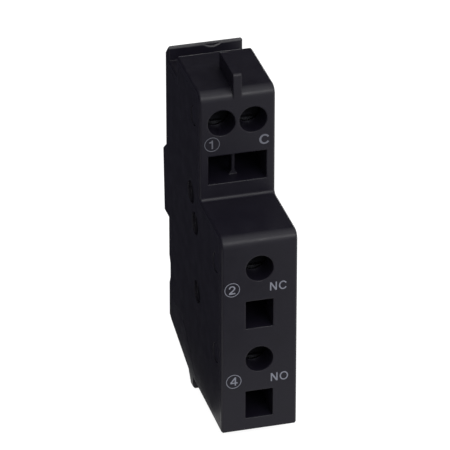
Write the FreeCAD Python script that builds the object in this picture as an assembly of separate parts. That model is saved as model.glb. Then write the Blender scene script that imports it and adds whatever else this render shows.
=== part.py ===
import FreeCAD, Part
import math
import os

# Auxiliary contact block with spring-cage terminals and a changeover snap switch.
# All sizes in millimetres. While a piece is shaped, X runs across the block from its
# middle plane (left is -X), Y runs back from the lower front face and Z runs up from
# the front bottom edge. place() then puts the origin at the bottom centre of the box.

# Housing, outside
BODY_W = 12.0            # width of the block
LOWER_H = 34.2           # height of the ledge between the two front faces
STEP_Y = 12.8            # how far the upper front face stands back
UPPER_RISE = 18.4        # upper block above the ledge
UPPER_D = 13.6           # depth of the upper block
SLOT_W = 5.05            # rail slot between the upper block and the tongue plate
SLOT_DEPTH = 3.4
PLATE_T = 1.8            # tongue plate behind the slot
PLATE_LOW = 1.0          # its top below the upper block's top
PLATE_DROP = 0.3         # its lower end below the ledge
PLATE_FLAT = 0.4         # its flat top, in front of the lead-in slope
PLATE_CORNER = 0.6       # its rounded upper left corner
BOSS_DROP = 1.9          # boss round the push button, its top below the ledge
BOSS_H = 11.1
BOSS_OUT = 1.95          # boss beyond the back of the tongue plate
BOSS_RAKE = 0.6
BACK_STEP = 1.4          # lower back face, in front of the tongue plate's back
BACK_GROOVE = 0.65       # shallow grip groove across the lower back
GROOVE_W = 5.0
FOOT_Z = 3.0             # where the slanted bottom meets the back
FOOT_CHAMFER = 1.3
HOOK_BACK = 20.1         # snap hook under the block
HOOK_CATCH = 17.0
HOOK_LIP = 1.65
HOOK_DROP = 1.75
SLOPE_BACK = 3.3         # chamber's lower corner behind the hook and above the foot
SLOPE_UP = 4.7
SHOULDER_R = 1.6         # rounded front edges
INNER_R = 0.5
OUTER_R = 0.4
EDGE_BREAK = 0.25        # bevel round both side outlines

# Fin on the top and scoop in the tongue plate
FIN_W = 1.35
FIN_H = 2.8
FIN_L = 8.0
FIN_R = 0.45
SCOOP_W = 3.4
SCOOP_DEPTH = 0.8
SCOOP_IN = 0.3           # into the plate's front face
SCOOP_X = 1.15
LEAD_IN = 1.5

# Walls and the side cover
WALL = 0.8               # right side wall
COVER_T = 0.8
RIM = 1.15               # rim of the housing round the cover
LEDGE = 0.7              # seat behind the cover's edge
WEB = 1.0                # walls between the chambers
FRONT_WALL = 3.8
COVER_GAP = 0.06         # all round the cover
POCKET_R = 0.5
RIB_T = 0.8

# Terminals
WIRE_D = 4.4
TOP_WIRE_SHARE = 0.7147  # height of the common terminal's wires on the upper front face
NC_WIRE_DOWN = 5.6       # next terminal's wire below the ledge
TIERS_ROOM = 2.2         # what the two lower terminals leave of the height
WIRE_MARGIN = 1.0        # side walls' share beside the two wires
TOOL_W = 4.4
TOOL_H = 4.85
TOOL_UP = 2.8            # tool slot's middle above the cell's floor
WINDOW_MARGIN = 1.36     # walls beside the double tool window
WINDOW_RIB = 0.5
WINDOW_RIB_BACK = 2.5
WINDOW_FOOT_W = 1.6      # foot of the rib on the window's floor
WINDOW_FOOT_H = 0.7
CELL_UP = 3.4            # cell above the wire's axis
CELL_WALL = 1.8          # between the cells one above the other
CELL_D = 9.6             # cell behind the front wall
CHAMBER_RISE = 0.7       # switch chamber above the ledge
CHAMBER_ROOF = 1.65      # between it and the common terminal's cell
RIB_HIGH = 1.2           # guiding ribs below the cell's top
RIB_MID = 3.2            # above the tool slot's middle
RIB_LOW = 1.0            # above the cell's floor
RIB_CLEAR = 0.3          # ribs clear of the clamp springs
SEAT_H = 2.0             # rib behind each clamp spring
BAR_T = 0.8              # current bars
BAR_W = 3.0
BAR_DROP = 1.6           # top of the bar below the wire's axis
BAR_TIP = 0.2            # tip of the bar behind the front wall
BAR_FIT = 0.08
BEND_R = 0.9
BAR_LAP = 2.3            # bar over the switch's tab
SPLIT = 3.1              # depth of the common bar's split
SPRING_T = 0.4           # cage clamp springs
SPRING_GAP = 0.8         # between the two springs of the common terminal
SPRING_R = 2.4
SPRING_TOE_R = 1.5
SPRING_LEG = 1.1         # clamping leg behind the front wall
SPRING_TOP = 1.2         # leg above its window
SPRING_LIFT = 2.6        # how far the leg rises for a wire
SPRING_REACH = 7.1       # from the leg to the back of the loop
SPRING_SEAT = 0.9        # supporting leg starts this far behind the clamping leg
WINDOW_FIT = 0.06

# Snap switch
SWITCH_W = 6.4
SWITCH_HEAD = 2.4        # its top end below the ledge
SWITCH_LOW = 0.35        # share of the ledge's height below its lower end
SWITCH_WALL = 0.8
SWITCH_COVER_T = 0.9
SWITCH_R = 0.6
PLUNGER_DOWN = 5.6       # plunger's axis below the top end
PLUNGER_D = 2.0
PLUNGER_OUT = 1.2
PLUNGER_FLANGE_D = 3.0
PLUNGER_FLANGE_T = 0.5
SLIDE_FIT = 0.05         # running clearance of plunger and push button
PIN_D = 2.2              # housing's pins through the switch
PIN_BASE = 2.9           # pins behind the switch's base
PIN_SHARE = 0.27         # pins' place from either end, as a share of the length
PIN_FIT = 0.05
BOSS_WALL = 0.6
LIP_FIT = 0.06           # switch cover's lip inside the case
LIP_H = 0.3
LIP_T = 0.5
LIP_CLEAR = 0.1
LIP_BREAK = 0.5          # lip's break either side of the common strip
ANVIL_W = 1.2            # case's block beside the common strip
ANVIL_UP = 0.4
STRIP_T = 0.5            # contact strips
TAB_W = 2.8
TAB_CLEAR = 0.2          # bars' ends off the switch
TAB_OUT = 3.3
COM_TAB_OUT = 2.6
NC_TAB_SHARE = 0.5       # tab's height, as a share of the switch's length
NO_TAB_UP = 2.25         # above the switch's bottom end
STRIP_END = 1.0          # contact strips beyond their contact's middle
STRIP_CLEAR = 0.3        # strip that passes beside the blade
STRIP_STEP = 0.6         # strip's wide part inside the case's wall
BLADE_X = -0.6           # blade's middle, off centre to let the strip past
BLADE_T = 0.2
BLADE_W = 2.6
BLADE_BASE = 5.85        # blade's plane behind the switch's base
BLADE_BACK = 4.35        # and in front of its back
BLADE_TOP = 3.3          # blade's pivot below the top end
CONTACT_UP = 2.3         # contacts above the bottom end
CONTACT_D = 1.5
CONTACT_H = 0.5
MOVING_H = 0.5
CONTACT_GAP = 0.55
BLADE_END = 1.1          # blade beyond the contact's middle
BLADE_WINDOW_W = 1.4
BLADE_WINDOW_LOW = 3.0   # window's lower end above the contact
BLADE_WINDOW_HIGH = 1.6  # upper end below the pivot
BLADE_PLAY = 0.02        # blade's end below the common strip it rocks on
SNAP_W = 1.0
SNAP_T = 0.15
SNAP_H = 0.8

# Push button and its spring
BUTTON_W = 6.0
BUTTON_H = 6.0
BUTTON_OUT = 2.5         # nose beyond the boss
BUTTON_R = 1.0
FLANGE_T = 2.0
FLANGE_H = 7.8
BUTTON_FIT = 0.1
TRAVEL = 1.0
BUTTON_ROOM = 1.0        # between the pressed button and the switch
TIP_BREAK = 0.4          # bevel at the plunger's tip
FLANGE_CLEAR = 0.1       # plunger's flange in the case's guide
BOSS_FACE_WALL = 1.5     # wall of the boss that stops the button's flange
SPRING_WIRE = 0.35
COIL_D = 3.4
COIL_TURNS = 3.5
COIL_FIT = 0.15
GROUND_SHARE = 0.3       # of the wire, ground off the spring's flat ends
WIRE_SIDES = 5           # section of the spring's wire

# Round studs of the housing that hold the cover: (y, z) behind each terminal's face
STUD_D = 2.2
STUD_HEAD_D = 2.9
STUD_SINK_D = 3.2
STUD_SINK = 0.4
STUD_PROUD = 0.1         # stud's head below the cover's face
STUD_BACK = 3.5
STAKE_D = 2.2
STAKE_SINK_D = 3.75
UPPER_STAKE_Y = 18.0     # stakes, below the ledge or above a wire's axis
UPPER_STAKE_DOWN = 1.0
MIDDLE_STAKE_Y = 15.6
MIDDLE_STAKE_UP = 0.3
LOWER_STAKE_Y = 14.5
LOWER_STAKE_UP = 4.7

# How far cuts run past a face, and how far joined pieces run into each other
PAST = 0.5
JOIN = 0.1

# Places worked out from the sizes above
HALF = BODY_W / 2
UPPER_H = LOWER_H + UPPER_RISE
SLOT_FLOOR = UPPER_H - SLOT_DEPTH
PLATE_TOP = UPPER_H - PLATE_LOW
PLATE_BOTTOM = LOWER_H - PLATE_DROP
BOSS_TOP = LOWER_H - BOSS_DROP
COVER_IN = -HALF + COVER_T
FLOOR_X = HALF - WALL
UPPER_BACK = STEP_Y + UPPER_D
PLATE_FRONT = UPPER_BACK + SLOT_W
PLATE_BACK = PLATE_FRONT + PLATE_T
BOSS_BACK = PLATE_BACK + BOSS_OUT
BOSS_LOW_BACK = BOSS_BACK - BOSS_RAKE
BOSS_BOTTOM = BOSS_TOP - BOSS_H
LOWER_BACK = PLATE_BACK - BACK_STEP
BOSS_INSIDE = BOSS_LOW_BACK - BOSS_FACE_WALL
BUTTON_TIP = BOSS_LOW_BACK + BUTTON_OUT
GROOVE_Z = (BOSS_BOTTOM + FOOT_Z) / 2
GROOVE_BACK = LOWER_BACK - BACK_GROOVE

TIER = (LOWER_H - TIERS_ROOM) / 2
TOP_WIRE_Z = LOWER_H + UPPER_RISE * TOP_WIRE_SHARE
NC_WIRE_Z = LOWER_H - NC_WIRE_DOWN
NO_WIRE_Z = NC_WIRE_Z - TIER
CELL_DOWN = TIER - CELL_UP - CELL_WALL
CHAMBER_TOP = LOWER_H + CHAMBER_RISE
TOP_CELL_DOWN = TOP_WIRE_Z - CHAMBER_TOP - CHAMBER_ROOF
CHAMBER_FRONT = FRONT_WALL + CELL_D + WEB
CHAMBER_BACK = GROOVE_BACK - RIM - LEDGE
WIRE_PITCH = BODY_W / 2 - WIRE_MARGIN
SPRING_W = WIRE_PITCH - SPRING_GAP
RIB_IN = SPRING_W / 2 + RIB_CLEAR
WINDOW_HALF = HALF - WINDOW_MARGIN

SWITCH_TOP = LOWER_H - SWITCH_HEAD
SWITCH_BOTTOM = LOWER_H * SWITCH_LOW
SWITCH_L = SWITCH_TOP - SWITCH_BOTTOM
SWITCH_BACK = BOSS_INSIDE - FLANGE_T - TRAVEL - BUTTON_ROOM
SWITCH_BASE = SWITCH_BACK - BLADE_BACK - BLADE_BASE
PLUNGER_Z = SWITCH_TOP - PLUNGER_DOWN
PIN_Y = SWITCH_BASE + PIN_BASE
PIN_ZS = (SWITCH_BOTTOM + SWITCH_L * PIN_SHARE, SWITCH_TOP - SWITCH_L * PIN_SHARE)
NC_TAB_Z = SWITCH_BOTTOM + SWITCH_L * NC_TAB_SHARE
NO_TAB_Z = SWITCH_BOTTOM + NO_TAB_UP
BLADE_Y = SWITCH_BASE + BLADE_BASE
PIVOT_Z = SWITCH_TOP - BLADE_TOP
CONTACT_Z = SWITCH_BOTTOM + CONTACT_UP

DEPTH_ALL = BUTTON_TIP


def vec(x, y, z):
    return FreeCAD.Vector(x, y, z)


def box(x0, x1, y0, y1, z0, z1):
    return Part.makeBox(x1 - x0, y1 - y0, z1 - z0, vec(x0, y0, z0))


def rod_x(radius, x0, x1, y, z):
    """Cylinder along X."""
    return Part.makeCylinder(radius, x1 - x0, vec(x0, y, z), vec(1, 0, 0))


def rod_y(radius, y0, y1, x, z):
    """Cylinder along Y."""
    return Part.makeCylinder(radius, y1 - y0, vec(x, y0, z), vec(0, 1, 0))


def rounded_face(corners, x):
    """Face in the plane x from corners (y, z) or (y, z, radius)."""
    stops = []
    for i, corner in enumerate(corners):
        here = vec(x, corner[0], corner[1])
        radius = corner[2] if len(corner) > 2 else 0
        if not radius:
            stops.append((here, None, here))
            continue
        before = corners[i - 1]
        after = corners[(i + 1) % len(corners)]
        back = (vec(x, before[0], before[1]) - here).normalize()
        ahead = (vec(x, after[0], after[1]) - here).normalize()
        half = back.getAngle(ahead) / 2
        inward = (back + ahead).normalize()
        cut = radius / math.tan(half)
        middle = here + inward * (radius / math.sin(half) - radius)
        stops.append((here + back * cut, middle, here + ahead * cut))
    edges = []
    for i, (start, middle, end) in enumerate(stops):
        if middle:
            edges.append(Part.Arc(start, middle, end).toShape())
        following = stops[(i + 1) % len(stops)][0]
        if end.distanceToPoint(following) > 1e-6:
            edges.append(Part.LineSegment(end, following).toShape())
    return Part.Face(Part.Wire(edges))


def prism(corners, x0, x1):
    """Profile in the side view, as thick as x0 to x1."""
    return rounded_face(corners, x0).extrude(vec(x1 - x0, 0, 0))


def bent_strip(path, thickness, x0, x1):
    """Folded sheet that follows a centre line (y, z, bend radius) in the side view."""
    sides = ([], [])
    for i, (y, z, radius) in enumerate(path):
        here = vec(0, y, z)
        ahead = vec(0, *path[i + 1][:2]) - here if i + 1 < len(path) else None
        back = here - vec(0, *path[i - 1][:2]) if i else None
        first = (back or ahead).normalize()
        second = (ahead or back).normalize()
        normal = vec(0, -first.z, first.y)
        turn = first.y * second.z - first.z * second.y
        mitre = (normal + vec(0, -second.z, second.y)).normalize()
        reach = thickness / 2 / mitre.dot(normal)
        for side, sign in zip(sides, (1, -1)):
            point = here + mitre * (sign * reach)
            shift = -sign * math.copysign(thickness / 2, turn)
            side.append((point.y, point.z, max(radius + shift, 0.02) if radius else 0))
    return prism(sides[0] + sides[1][::-1], x0, x1)


def near(value, target):
    return abs(value - target) < 1e-4


def body_outline():
    """Side view of the housing, from the front bottom edge, up and back."""
    groove_low = GROOVE_Z - GROOVE_W / 2
    groove_high = GROOVE_Z + GROOVE_W / 2
    return [
        (0, 0, EDGE_BREAK),
        (0, LOWER_H, SHOULDER_R),
        (STEP_Y, LOWER_H, INNER_R),
        (STEP_Y, UPPER_H, SHOULDER_R),
        (UPPER_BACK, UPPER_H, OUTER_R),
        (UPPER_BACK, SLOT_FLOOR),
        (PLATE_FRONT, SLOT_FLOOR),
        (PLATE_FRONT, PLATE_TOP),
        (PLATE_FRONT + PLATE_FLAT, PLATE_TOP),
        (PLATE_BACK, PLATE_TOP - LEAD_IN, OUTER_R),
        (PLATE_BACK, PLATE_BOTTOM),
        (BOSS_BACK, BOSS_TOP, OUTER_R),
        (BOSS_LOW_BACK, BOSS_BOTTOM, OUTER_R),
        (LOWER_BACK, BOSS_BOTTOM),
        (LOWER_BACK, groove_high),
        (GROOVE_BACK, groove_high - 2 * BACK_GROOVE),
        (GROOVE_BACK, groove_low + 2 * BACK_GROOVE),
        (LOWER_BACK, groove_low),
        (LOWER_BACK, FOOT_Z + FOOT_CHAMFER / 2),
        (LOWER_BACK - FOOT_CHAMFER, FOOT_Z),
        (HOOK_BACK, 0),
        (HOOK_CATCH + HOOK_LIP, -HOOK_DROP),
        (HOOK_CATCH, -HOOK_DROP),
        (HOOK_CATCH, 0),
    ]


def cover_outline(gap):
    """Side view of the cover, or with no gap of the recess that takes it."""
    side = RIM + gap
    seat_back = UPPER_BACK - side
    low = FOOT_Z + SLOPE_UP + gap
    boss_low = BOSS_BOTTOM + RIM / 2 + gap
    return [
        (side, side, POCKET_R),
        (HOOK_CATCH - RIM - gap / 3, side, POCKET_R),
        (HOOK_BACK + SLOPE_BACK - gap / 3, low),
        (GROOVE_BACK - side, low, POCKET_R),
        (GROOVE_BACK - side, boss_low),
        (BOSS_LOW_BACK - side, boss_low, POCKET_R),
        (BOSS_LOW_BACK - side, BOSS_TOP - side, POCKET_R),
        (PLATE_BACK - side, BOSS_TOP - side),
        (PLATE_BACK - side, SLOT_FLOOR - side, POCKET_R),
        (seat_back, SLOT_FLOOR - side),
        (seat_back, UPPER_H - side, POCKET_R),
        (STEP_Y + side, UPPER_H - side, POCKET_R),
        (STEP_Y + side, LOWER_H - side),
        (side, LOWER_H - side, POCKET_R),
    ]


def rectangle(y0, y1, z0, z1, radius=0):
    return [(y0, z0, radius), (y0, z1, radius), (y1, z1, radius), (y1, z0, radius)]


# Each terminal: front face, axis of its wires, cell's floor, places of its wires across
TERMINALS = (
    (STEP_Y, TOP_WIRE_Z, TOP_WIRE_Z - TOP_CELL_DOWN, (-WIRE_PITCH / 2, WIRE_PITCH / 2)),
    (0, NC_WIRE_Z, NC_WIRE_Z - CELL_DOWN, (0,)),
    (0, NO_WIRE_Z, NO_WIRE_Z - CELL_DOWN, (0,)),
)


def place(shape):
    """Move a piece to the final origin, at the bottom centre of the whole box."""
    moved = shape.copy()
    moved.translate(vec(0, -DEPTH_ALL / 2, HOOK_DROP))
    return moved


def studs():
    """Places (y, z) of the studs beside each terminal."""
    return [(face + STUD_BACK, wire) for face, wire, floor, across in TERMINALS]


STAKES = (
    (UPPER_STAKE_Y, LOWER_H - UPPER_STAKE_DOWN),
    (MIDDLE_STAKE_Y, NC_WIRE_Z + MIDDLE_STAKE_UP),
    (LOWER_STAKE_Y, NO_WIRE_Z + LOWER_STAKE_UP),
)


def cell(face, wire, floor):
    """Side view of the chamber behind one terminal's front wall."""
    front = face + FRONT_WALL
    return rectangle(front, front + CELL_D, floor, wire + CELL_UP)


def tool_slot(face, floor, half):
    """Cutter for a screwdriver's slot through the front wall."""
    z = floor + TOOL_UP
    return box(-half, half, face - PAST, face + FRONT_WALL + PAST, z - TOOL_H / 2, z + TOOL_H / 2)


def rib_bands(wire, floor):
    """Lower and upper edges of the guiding ribs in one single cell."""
    middles = (wire + CELL_UP - RIB_HIGH, floor + TOOL_UP + RIB_MID, floor + RIB_LOW)
    return [(z - RIB_T / 2, z + RIB_T / 2) for z in middles]


def switch_chamber():
    """Side view of the chamber that takes the switch and the bars' ends."""
    low = FOOT_Z + SLOPE_UP + LEDGE
    side = RIM + LEDGE
    return [
        (CHAMBER_FRONT, side),
        (HOOK_CATCH - RIM - LEDGE, side),
        (HOOK_BACK + SLOPE_BACK - LEDGE, low),
        (CHAMBER_BACK, low),
        (CHAMBER_BACK, CHAMBER_TOP),
        (CHAMBER_FRONT, CHAMBER_TOP),
    ]


def housing_shell():
    """Outer block with its rounded outline, the fin and the scooped tongue plate."""
    block = prism(body_outline(), -HALF, HALF)
    rims = [e for e in block.Edges if near(abs(e.CenterOfMass.x), HALF)]
    block = block.makeChamfer(EDGE_BREAK, rims)
    block = block.cut(plate_corner())
    fin_top = UPPER_H + FIN_H
    fin = prism([
        (STEP_Y, TOP_WIRE_Z),
        (STEP_Y, fin_top, FIN_R),
        (STEP_Y + FIN_L, fin_top, FIN_R),
        (STEP_Y + FIN_L, TOP_WIRE_Z),
    ], -FIN_W / 2, FIN_W / 2)
    block = block.fuse(fin).removeSplitter()
    scoop_r = SCOOP_W ** 2 / 8 / SCOOP_DEPTH + SCOOP_DEPTH / 2
    scoop_z = PLATE_TOP - SCOOP_DEPTH + scoop_r
    scoop = rod_y(scoop_r, PLATE_FRONT - PAST, PLATE_FRONT + SCOOP_IN, SCOOP_X, scoop_z)
    return block.cut(scoop)


def plate_corner():
    """Cutter that rounds the upper left corner of the tongue plate."""
    start = PLATE_FRONT - PAST
    end = PLATE_BACK + PAST
    x = PLATE_CORNER - HALF
    z = PLATE_TOP - PLATE_CORNER
    corner = box(-HALF - PAST, x, start, end, z, PLATE_TOP + PAST)
    return corner.cut(rod_y(PLATE_CORNER, start, end, x, z))


def cell_ribs():
    """Ribs from the floor of each single cell that guide its clamp spring."""
    ribs = []
    for face, wire, floor, across in TERMINALS[1:]:
        front = face + FRONT_WALL
        for low, high in rib_bands(wire, floor):
            ribs.append(box(RIB_IN, FLOOR_X, front, front + CELL_D, low, high))
        seat = wire - BAR_DROP - BAR_T - SPRING_R
        back = front + SPRING_LEG + SPRING_REACH
        ribs.append(box(-SPRING_W / 2, FLOOR_X, back, front + CELL_D,
                        seat - SEAT_H / 2, seat + SEAT_H / 2))
    return ribs


def window_rib():
    """Rib that parts the double tool window, with a foot on the window's floor."""
    floor = TERMINALS[0][2] + TOOL_UP - TOOL_H / 2
    front = STEP_Y + WINDOW_RIB_BACK
    back = STEP_Y + FRONT_WALL + PAST
    rib = box(-WINDOW_RIB / 2, WINDOW_RIB / 2, front, back, floor - JOIN, floor + TOOL_H + JOIN)
    outline = [
        (-WINDOW_FOOT_W / 2, floor - JOIN),
        (WINDOW_FOOT_W / 2, floor - JOIN),
        (WINDOW_RIB / 2, floor + WINDOW_FOOT_H),
        (-WINDOW_RIB / 2, floor + WINDOW_FOOT_H),
    ]
    loop = Part.makePolygon([vec(x, front, z) for x, z in outline + outline[:1]])
    return rib.fuse(Part.Face(loop).extrude(vec(0, back - front, 0)))


def bar_passages():
    """Slots in the chamber walls through which the current bars run."""
    cuts = []
    half = BAR_W / 2 + BAR_FIT
    for face, wire, floor, across in TERMINALS[1:]:
        wall = face + FRONT_WALL + CELL_D
        cuts.append(box(COVER_IN, half, wall - PAST, wall + WEB + PAST,
                        wire - BAR_DROP - BAR_T, wire - BAR_DROP + BAR_FIT))
    leg = common_leg_y()
    reach = BAR_T / 2 + BAR_FIT
    cuts.append(box(COVER_IN, half + PAST, leg - reach, leg + reach,
                    CHAMBER_TOP - PAST, TERMINALS[0][2] + PAST))
    return cuts


def common_leg_y():
    """Middle of the common bar's downward leg, which lies on the switch's common strip."""
    return BLADE_Y + STRIP_T / 2 + BAR_T / 2


def main_housing():
    body = housing_shell()
    cuts = [prism(cover_outline(0), -HALF - PAST, COVER_IN)]
    for face, wire, floor, across in TERMINALS:
        cuts.append(prism(cell(face, wire, floor), COVER_IN - JOIN, FLOOR_X))
        cuts.append(tool_slot(face, floor, WINDOW_HALF if len(across) > 1 else TOOL_W / 2))
        for x in across:
            cuts.append(rod_y(WIRE_D / 2, face - PAST, face + FRONT_WALL + PAST, x, wire))
    cuts.append(prism(switch_chamber(), COVER_IN - JOIN, FLOOR_X))
    hollow = rectangle(UPPER_BACK + WEB / 2, PLATE_BACK - RIM - LEDGE,
                       LOWER_H + 2 * WEB, SLOT_FLOOR - RIM - LEDGE)
    cuts.append(prism(hollow, COVER_IN - JOIN, FLOOR_X))
    body = body.cut(cuts)

    adds = cell_ribs()
    adds.append(window_rib())
    for y, z in studs():
        adds.append(rod_x(STUD_D / 2, -HALF + STUD_SINK, COVER_IN + LEDGE / 2, y, z))
        adds.append(rod_x(STUD_HEAD_D / 2, -HALF + STUD_PROUD, -HALF + STUD_SINK, y, z))
    for y, z in STAKES:
        adds.append(rod_x(STAKE_D / 2, COVER_IN, FLOOR_X + JOIN, y, z))
    for z in PIN_ZS:
        adds.append(rod_x(PIN_D / 2 + BOSS_WALL, SWITCH_W / 2, FLOOR_X + JOIN, PIN_Y, z))
        adds.append(rod_x(PIN_D / 2, -SWITCH_W / 2, SWITCH_W / 2 + JOIN, PIN_Y, z))
    body = body.fuse(adds)
    return body.cut(bar_passages() + button_passage()).removeSplitter()


def button_passage():
    """Guide for the push button's flange and the hole for its nose."""
    guide = FLANGE_H / 2 + BUTTON_FIT
    hole_w = BUTTON_W / 2 + BUTTON_FIT
    hole_h = BUTTON_H / 2 + BUTTON_FIT
    return [
        box(COVER_IN - JOIN, FLOOR_X, CHAMBER_BACK - PAST, BOSS_INSIDE,
            PLUNGER_Z - guide, PLUNGER_Z + guide),
        box(-hole_w, hole_w, BOSS_INSIDE - PAST, BUTTON_TIP, PLUNGER_Z - hole_h, PLUNGER_Z + hole_h),
    ]


def side_cover():
    """Flush cover that closes the left side, with ribs that steady the springs."""
    cover = prism(cover_outline(COVER_GAP), -HALF, COVER_IN)
    adds = []
    for face, wire, floor, across in TERMINALS[1:]:
        front = face + FRONT_WALL
        for low, high in rib_bands(wire, floor):
            adds.append(box(COVER_IN - JOIN, -RIB_IN, front + RIB_CLEAR, front + CELL_D - RIB_CLEAR,
                            low, high))
    for z in PIN_ZS:
        adds.append(rod_x(PIN_D / 2 + BOSS_WALL, COVER_IN - JOIN, -SWITCH_W / 2, PIN_Y, z))
    cover = cover.fuse(adds)
    cuts = []
    for y, z in studs():
        cuts.append(rod_x(STUD_D / 2 + PIN_FIT, -HALF - PAST, COVER_IN + PAST, y, z))
        cuts.append(rod_x(STUD_SINK_D / 2, -HALF - PAST, -HALF + STUD_SINK, y, z))
    for y, z in STAKES:
        cuts.append(rod_x(STAKE_SINK_D / 2, -HALF - PAST, COVER_IN - COVER_T / 4, y, z))
    return cover.cut(cuts).removeSplitter()


def clamp_spring(face, wire, x):
    """Cage clamp: a loop of strip whose windowed leg pulls the wire down on the bar."""
    leg = face + FRONT_WALL + SPRING_LEG
    under = wire - BAR_DROP - BAR_T - SPRING_T / 2
    back = leg + SPRING_REACH - SPRING_T / 2
    bottom = under - 2 * SPRING_R
    top = wire - BAR_DROP + SPRING_TOP
    path = [
        (leg + SPRING_SEAT, under, 0),
        (back, under, SPRING_R),
        (back, bottom, SPRING_R),
        (leg, bottom, SPRING_TOE_R),
        (leg, top, 0),
    ]
    half = SPRING_W / 2
    spring = bent_strip(path, SPRING_T, x - half, x + half)
    hole = BAR_W / 2 - (WIRE_PITCH - SPRING_W) / 2 + WINDOW_FIT if face else BAR_W / 2 + WINDOW_FIT
    opening = box(x - hole, x + hole, leg - SPRING_T, leg + SPRING_T,
                  wire - BAR_DROP - BAR_T - SPRING_LIFT, wire - BAR_DROP)
    return spring.cut(opening)


def nc_busbar():
    return signal_bar(NC_WIRE_Z, NC_TAB_Z)


def no_busbar():
    return signal_bar(NO_WIRE_Z, NO_TAB_Z)


def signal_bar(wire, tab):
    """Bar from a single terminal, joggled to lie on one tab of the switch."""
    level = wire - BAR_DROP - BAR_T / 2
    lap = STRIP_T / 2 + BAR_T / 2
    foot = tab + math.copysign(lap, level - tab)
    leg = SWITCH_BASE - BAR_LAP
    path = [
        (FRONT_WALL + BAR_TIP, level, 0),
        (leg, level, BEND_R),
        (leg, foot, BEND_R),
        (SWITCH_BASE - TAB_CLEAR, foot, 0),
    ]
    return bent_strip(path, BAR_T, -BAR_W / 2, BAR_W / 2)


def common_busbar():
    """Double bar of the common terminal, with a leg down to the switch."""
    level = TOP_WIRE_Z - BAR_DROP - BAR_T / 2
    front = STEP_Y + FRONT_WALL + BAR_TIP
    leg = common_leg_y()
    half = WIRE_PITCH / 2 + BAR_W / 2 - (WIRE_PITCH - SPRING_W) / 2
    bar = bent_strip([
        (front, level, 0),
        (leg, level, BEND_R),
        (leg, SWITCH_TOP + TAB_CLEAR, 0),
    ], BAR_T, -half, half)
    tongue = 2 * half - WIRE_PITCH
    gap = WIRE_PITCH - tongue
    split = box(-gap / 2, gap / 2, front - PAST, front + SPLIT, level - BAR_T, level + BAR_T)
    cuts = [split]
    for sign in (-1, 1):
        edges = sorted((sign * BAR_W / 2, sign * (half + PAST)))
        cuts.append(box(edges[0], edges[1], leg - BAR_T, leg + BAR_T,
                        SWITCH_TOP, level - BAR_T / 2 - BEND_R))
    return bar.cut(cuts)


def switch_case():
    """Moulded case of the snap switch, open to the left."""
    half = SWITCH_W / 2
    case = prism(rectangle(SWITCH_BASE, SWITCH_BACK, SWITCH_BOTTOM, SWITCH_TOP, SWITCH_R),
                 -half + SWITCH_COVER_T, half)
    floor = half - SWITCH_WALL
    pocket = prism(rectangle(SWITCH_BASE + SWITCH_WALL, SWITCH_BACK - SWITCH_WALL,
                             SWITCH_BOTTOM + SWITCH_WALL, SWITCH_TOP - SWITCH_WALL),
                   -half, floor)
    case = case.cut(pocket)
    adds = []
    for z in PIN_ZS:
        adds.append(rod_x(PIN_D / 2 + PIN_FIT + BOSS_WALL, -half + SWITCH_COVER_T, half, PIN_Y, z))
    guide = PLUNGER_FLANGE_D / 2
    adds.append(box(-half + SWITCH_COVER_T, half, SWITCH_BACK - 2 * SWITCH_WALL, SWITCH_BACK - JOIN,
                    PLUNGER_Z - guide, PLUNGER_Z + guide))
    adds.append(box(floor - ANVIL_W, half, BLADE_Y - STRIP_T / 2, BLADE_Y + STRIP_T / 2,
                    PIVOT_Z + ANVIL_UP, SWITCH_TOP - JOIN))
    case = case.fuse(adds)
    cuts = [com_strip(), nc_strip(), no_strip()]
    for z in PIN_ZS:
        cuts.append(rod_x(PIN_D / 2 + PIN_FIT, -half - PAST, half + PAST, PIN_Y, z))
    cuts.append(rod_y(PLUNGER_D / 2 + SLIDE_FIT, SWITCH_BACK - 2 * SWITCH_WALL - PAST,
                      SWITCH_BACK + PAST, 0, PLUNGER_Z))
    return case.cut(cuts).removeSplitter()


def switch_cover():
    """Flat cover of the switch, with a lip that centres it in the case."""
    half = SWITCH_W / 2
    inside = -half + SWITCH_COVER_T
    plate = prism(rectangle(SWITCH_BASE, SWITCH_BACK, SWITCH_BOTTOM, SWITCH_TOP, SWITCH_R),
                  -half, inside)
    lip = lip_block(SWITCH_WALL + LIP_FIT, inside - JOIN, inside + LIP_H)
    cuts = [lip_block(SWITCH_WALL + LIP_FIT + LIP_T, inside, inside + LIP_H + PAST)]
    for z in PIN_ZS:
        cuts.append(rod_x(PIN_D / 2 + PIN_FIT + BOSS_WALL + LIP_CLEAR, inside, 0, PIN_Y, z))
    guide = PLUNGER_FLANGE_D / 2 + LIP_CLEAR
    cuts.append(box(inside, 0, SWITCH_BACK - 2 * SWITCH_WALL - LIP_CLEAR, SWITCH_BACK,
                    PLUNGER_Z - guide, PLUNGER_Z + guide))
    cuts.append(box(inside, 0, BLADE_Y - LIP_BREAK, BLADE_Y + LIP_BREAK, PIVOT_Z, SWITCH_TOP))
    holes = [rod_x(PIN_D / 2 + PIN_FIT, -half - PAST, half, PIN_Y, z) for z in PIN_ZS]
    return plate.fuse(lip.cut(cuts)).cut(holes).removeSplitter()


def lip_block(inset, x0, x1):
    """Block inside the switch's outline, for the cover's lip."""
    return box(x0, x1, SWITCH_BASE + inset, SWITCH_BACK - inset,
               SWITCH_BOTTOM + inset, SWITCH_TOP - inset)


def com_strip():
    """Common strip: a tab out of the top end, and the edge that the blade rocks on."""
    return box(-TAB_W / 2, TAB_W / 2, BLADE_Y - STRIP_T / 2, BLADE_Y + STRIP_T / 2,
               PIVOT_Z, SWITCH_TOP + COM_TAB_OUT)


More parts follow.
